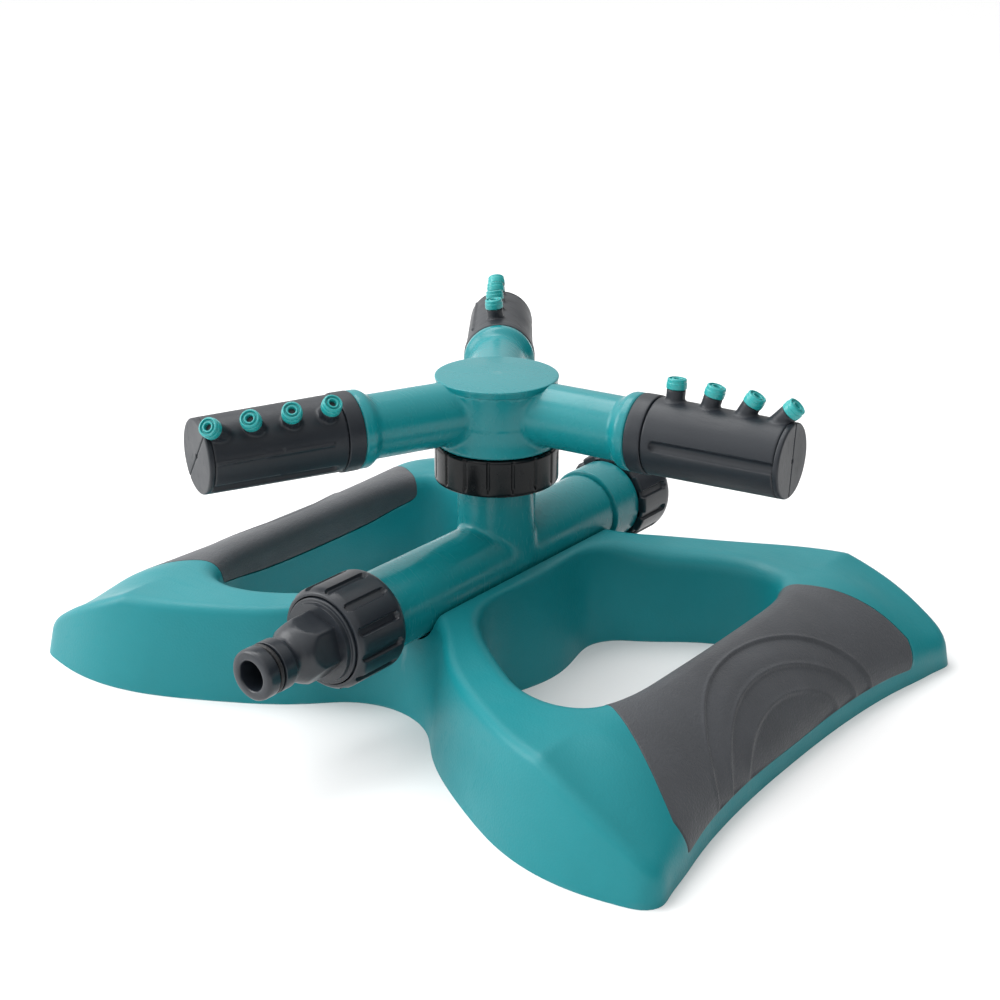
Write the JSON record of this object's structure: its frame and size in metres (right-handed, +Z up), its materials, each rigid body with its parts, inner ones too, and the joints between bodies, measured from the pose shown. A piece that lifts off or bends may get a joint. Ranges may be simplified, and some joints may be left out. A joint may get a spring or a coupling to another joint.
{
  "type": "rotary lawn sprinkler",
  "caption": "Winged-base rotary lawn sprinkler: a threaded water tee carries a free-spinning rotor whose arms end in turnable nozzle barrels, with soft side grips.",
  "frame": {"origin": "on the ground, straight under the rotor's axis, at the centre of the base's underside", "axes": "+X across the wings, to the right seen from the inlet; +Y along the water tube from inlet to outlet; +Z up"},
  "size_m": [0.2542, 0.2155, 0.1113],
  "materials": {
    "teal_plastic": "satin moulded plastic",
    "tip_teal": "satin moulded plastic, lighter",
    "grip_rubber": "matt soft-touch overmoulding",
    "black_plastic": "fine satin moulded plastic",
    "charcoal_plastic": "satin moulded plastic",
    "seal_rubber": "matt black rubber",
    "white_acetal": "natural white, low gloss",
    "screw_steel": "plated steel"
  },
  "bodies": {
    "base": {"base_shell": "teal_plastic", "grip_pad_right": "grip_rubber", "grip_pad_left": "grip_rubber", "tee_body": "teal_plastic", "tee_screws": "screw_steel", "collar_nut": "black_plastic", "riser_seal": "seal_rubber", "thrust_washer": "white_acetal"},
    "rotor": {"rotor_hub": "teal_plastic", "hub_cap": "teal_plastic", "spindle": "white_acetal", "spindle_o_ring": "seal_rubber", "arm_seal_right": "seal_rubber", "arm_seal_back": "seal_rubber", "arm_seal_left": "seal_rubber"},
    "inlet": {"inlet_nipple": "black_plastic", "nipple_clip": "white_acetal", "inlet_washer": "seal_rubber", "nipple_o_ring": "seal_rubber"},
    "inlet_nut": {"inlet_nut": "black_plastic"},
    "outlet_seal": {"outlet_washer": "seal_rubber"},
    "outlet_cap": {"outlet_cap": "black_plastic"},
    "head_right": {"barrel_right": "charcoal_plastic", "head_ring_right": "charcoal_plastic", "end_cap_right": "charcoal_plastic", "nozzle_tips_right": "tip_teal"},
    "head_back": {"barrel_back": "charcoal_plastic", "head_ring_back": "charcoal_plastic", "end_cap_back": "charcoal_plastic", "nozzle_tips_back": "tip_teal"},
    "head_left": {"barrel_left": "charcoal_plastic", "head_ring_left": "charcoal_plastic", "end_cap_left": "charcoal_plastic", "nozzle_tips_left": "tip_teal"}
  },
  "joints": [
    {"name": "rotor_spin", "type": "hinge", "parent": "base", "child": "rotor", "pos_m": [0, 0, 0.0747], "axis": [0, 0, 1], "continuous": true},
    {"name": "head_turn_right", "type": "hinge", "parent": "rotor", "child": "head_right", "pos_m": [0.05954, 0.00744, 0.0917], "axis": [0.9923, 0.1239, 0], "continuous": true},
    {"name": "head_turn_back", "type": "hinge", "parent": "rotor", "child": "head_back", "pos_m": [-0.03621, 0.04784, 0.0917], "axis": [-0.6035, 0.7974, 0], "continuous": true},
    {"name": "head_turn_left", "type": "hinge", "parent": "rotor", "child": "head_left", "pos_m": [-0.02333, -0.05528, 0.0917], "axis": [-0.3888, -0.9213, 0], "continuous": true},
    {"name": "inlet_travel", "type": "slide", "parent": "base", "child": "inlet", "axis": [0, -1, 0], "range_m": [0, 0.00826]},
    {"name": "inlet_nut_turn", "type": "hinge", "parent": "inlet", "child": "inlet_nut", "pos_m": [0, -0.074, 0.0386], "axis": [0, -1, 0], "range_deg": [0, 1620]},
    {"name": "outlet_travel", "type": "slide", "parent": "base", "child": "outlet_seal", "axis": [0, 1, 0], "range_m": [0, 0.00917]},
    {"name": "outlet_cap_turn", "type": "hinge", "parent": "outlet_seal", "child": "outlet_cap", "pos_m": [0, 0.075, 0.0386], "axis": [0, 1, 0], "range_deg": [0, 1800]}
  ],
  "couplings": [
    {"joint": "inlet_travel", "follows": "inlet_nut_turn", "m_per_rad": 0.00028871},
    {"joint": "outlet_travel", "follows": "outlet_cap_turn", "m_per_rad": 0.00028871}
  ]
}
